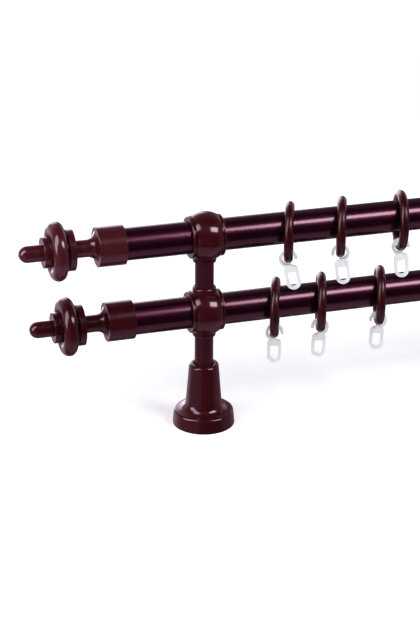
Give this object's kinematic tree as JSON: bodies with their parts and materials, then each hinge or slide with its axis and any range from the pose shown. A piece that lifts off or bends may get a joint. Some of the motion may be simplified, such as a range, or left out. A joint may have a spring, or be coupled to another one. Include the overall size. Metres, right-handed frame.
{
  "type": "double curtain pole",
  "caption": "Double curtain pole: round poles on wall brackets with ball-shaped holders, turned finials, sliding rings and clip hooks.",
  "frame": {"origin": "middle of the bounding box, on the plane of the wall", "axes": "+X along the poles, +Z out of the wall along the brackets' posts, +Y to the back as pictured"},
  "size_m": [1.3468, 0.055, 0.2017],
  "materials": {
    "film": "dark red-brown film on steel tube, glossy",
    "lacquer": "dark red-brown lacquer on steel tube, satin",
    "brown_plastic": "dark red-brown moulded plastic, glossy",
    "clear_plastic": "milky translucent plastic",
    "steel": "zinc plated"
  },
  "bodies": {
    "frame": {"left_base_cover": "brown_plastic", "left_end_holder": "brown_plastic", "left_lower_post": "lacquer", "left_middle_holder": "brown_plastic", "left_pole_screws": "steel", "left_post_plugs": "steel", "left_post_screws": "steel", "left_socket_screw": "steel", "left_upper_post": "lacquer", "left_wall_plate": "steel", "lower_left_finial_knob": "brown_plastic", "lower_left_finial_sleeve": "brown_plastic", "lower_pole": "film", "lower_right_finial_knob": "brown_plastic", "lower_right_finial_sleeve": "brown_plastic", "right_base_cover": "brown_plastic", "right_end_holder": "brown_plastic", "right_lower_post": "lacquer", "right_middle_holder": "brown_plastic", "right_pole_screws": "steel", "right_post_plugs": "steel", "right_post_screws": "steel", "right_socket_screw": "steel", "right_upper_post": "lacquer", "right_wall_plate": "steel", "upper_left_finial_knob": "brown_plastic", "upper_left_finial_sleeve": "brown_plastic", "upper_pole": "film", "upper_right_finial_knob": "brown_plastic", "upper_right_finial_sleeve": "brown_plastic"},
    "lower_ring_1": {"lower_ring_1": "brown_plastic"},
    "lower_hook_1": {"lower_hook_1": "clear_plastic"},
    "lower_ring_2": {"lower_ring_2": "brown_plastic"},
    "lower_hook_2": {"lower_hook_2": "clear_plastic"},
    "lower_ring_3": {"lower_ring_3": "brown_plastic"},
    "lower_hook_3": {"lower_hook_3": "clear_plastic"},
    "lower_ring_4": {"lower_ring_4": "brown_plastic"},
    "lower_hook_4": {"lower_hook_4": "clear_plastic"},
    "lower_ring_5": {"lower_ring_5": "brown_plastic"},
    "lower_hook_5": {"lower_hook_5": "clear_plastic"},
    "lower_ring_6": {"lower_ring_6": "brown_plastic"},
    "lower_hook_6": {"lower_hook_6": "clear_plastic"},
    "upper_ring_1": {"upper_ring_1": "brown_plastic"},
    "upper_hook_1": {"upper_hook_1": "clear_plastic"},
    "upper_ring_2": {"upper_ring_2": "brown_plastic"},
    "upper_hook_2": {"upper_hook_2": "clear_plastic"},
    "upper_ring_3": {"upper_ring_3": "brown_plastic"},
    "upper_hook_3": {"upper_hook_3": "clear_plastic"},
    "upper_ring_4": {"upper_ring_4": "brown_plastic"},
    "upper_hook_4": {"upper_hook_4": "clear_plastic"},
    "upper_ring_5": {"upper_ring_5": "brown_plastic"},
    "upper_hook_5": {"upper_hook_5": "clear_plastic"},
    "upper_ring_6": {"upper_ring_6": "brown_plastic"},
    "upper_hook_6": {"upper_hook_6": "clear_plastic"}
  },
  "joints": [
    {"name": "lower_ring_1_slide", "type": "slide", "parent": "frame", "child": "lower_ring_1", "axis": [1, 0, 0], "range_m": [-0.037, 0.004]},
    {"name": "lower_hook_1_swing", "type": "hinge", "parent": "lower_ring_1", "child": "lower_hook_1", "pos_m": [-0.4466, 0, 0.0793], "axis": [0.3584, 0.9336, 0], "range_deg": [-50, 50]},
    {"name": "lower_ring_2_slide", "type": "slide", "parent": "frame", "child": "lower_ring_2", "axis": [1, 0, 0], "range_m": [-0.015, 0.007]},
    {"name": "lower_hook_2_swing", "type": "hinge", "parent": "lower_ring_2", "child": "lower_hook_2", "pos_m": [-0.4038, 0, 0.0793], "axis": [0.309, 0.9511, 0], "range_deg": [-50, 50]},
    {"name": "lower_ring_3_slide", "type": "slide", "parent": "frame", "child": "lower_ring_3", "axis": [1, 0, 0], "range_m": [-0.024, 0.006]},
    {"name": "lower_hook_3_swing", "type": "hinge", "parent": "lower_ring_3", "child": "lower_hook_3", "pos_m": [-0.3478, 0, 0.0793], "axis": [0.309, 0.9511, 0], "range_deg": [-50, 50]},
    {"name": "lower_ring_4_slide", "type": "slide", "parent": "frame", "child": "lower_ring_4", "axis": [1, 0, 0], "range_m": [-0.006, 0.024]},
    {"name": "lower_hook_4_swing", "type": "hinge", "parent": "lower_ring_4", "child": "lower_hook_4", "pos_m": [0.3478, 0, 0.0793], "axis": [-0.309, 0.9511, 0], "range_deg": [-50, 50]},
    {"name": "lower_ring_5_slide", "type": "slide", "parent": "frame", "child": "lower_ring_5", "axis": [1, 0, 0], "range_m": [-0.007, 0.015]},
    {"name": "lower_hook_5_swing", "type": "hinge", "parent": "lower_ring_5", "child": "lower_hook_5", "pos_m": [0.4038, 0, 0.0793], "axis": [-0.309, 0.9511, 0], "range_deg": [-50, 50]},
    {"name": "lower_ring_6_slide", "type": "slide", "parent": "frame", "child": "lower_ring_6", "axis": [1, 0, 0], "range_m": [-0.004, 0.037]},
    {"name": "lower_hook_6_swing", "type": "hinge", "parent": "lower_ring_6", "child": "lower_hook_6", "pos_m": [0.4466, 0, 0.0793], "axis": [-0.3584, 0.9336, 0], "range_deg": [-50, 50]},
    {"name": "upper_ring_1_slide", "type": "slide", "parent": "frame", "child": "upper_ring_1", "axis": [1, 0, 0], "range_m": [-0.004, 0.015]},
    {"name": "upper_hook_1_swing", "type": "hinge", "parent": "upper_ring_1", "child": "upper_hook_1", "pos_m": [-0.43839, -0.00804, 0.15018], "axis": [0.3323, 0.8656, -0.3746], "range_deg": [-50, 10]},
    {"name": "upper_ring_2_slide", "type": "slide", "parent": "frame", "child": "upper_ring_2", "axis": [1, 0, 0], "range_m": [-0.007, 0.024]},
    {"name": "upper_hook_2_swing", "type": "hinge", "parent": "upper_ring_2", "child": "upper_hook_2", "pos_m": [-0.38999, -0.00804, 0.15018], "axis": [0.3323, 0.8656, -0.3746], "range_deg": [-50, 23]},
    {"name": "upper_ring_3_slide", "type": "slide", "parent": "frame", "child": "upper_ring_3", "axis": [1, 0, 0], "range_m": [-0.006, 0.32]},
    {"name": "upper_hook_3_swing", "type": "hinge", "parent": "upper_ring_3", "child": "upper_hook_3", "pos_m": [-0.33298, -0.00836, 0.15018], "axis": [0.2243, 0.8996, -0.3746], "range_deg": [-50, 18]},
    {"name": "upper_ring_4_slide", "type": "slide", "parent": "frame", "child": "upper_ring_4", "axis": [1, 0, 0], "range_m": [-0.32, 0.006]},
    {"name": "upper_hook_4_swing", "type": "hinge", "parent": "upper_ring_4", "child": "upper_hook_4", "pos_m": [0.33298, -0.00836, 0.15018], "axis": [-0.2243, 0.8996, -0.3746], "range_deg": [-18, 50]},
    {"name": "upper_ring_5_slide", "type": "slide", "parent": "frame", "child": "upper_ring_5", "axis": [1, 0, 0], "range_m": [-0.024, 0.007]},
    {"name": "upper_hook_5_swing", "type": "hinge", "parent": "upper_ring_5", "child": "upper_hook_5", "pos_m": [0.38999, -0.00804, 0.15018], "axis": [-0.3323, 0.8656, -0.3746], "range_deg": [-23, 50]},
    {"name": "upper_ring_6_slide", "type": "slide", "parent": "frame", "child": "upper_ring_6", "axis": [1, 0, 0], "range_m": [-0.015, 0.004]},
    {"name": "upper_hook_6_swing", "type": "hinge", "parent": "upper_ring_6", "child": "upper_hook_6", "pos_m": [0.43839, -0.00804, 0.15018], "axis": [-0.3323, 0.8656, -0.3746], "range_deg": [-10, 50]}
  ]
}
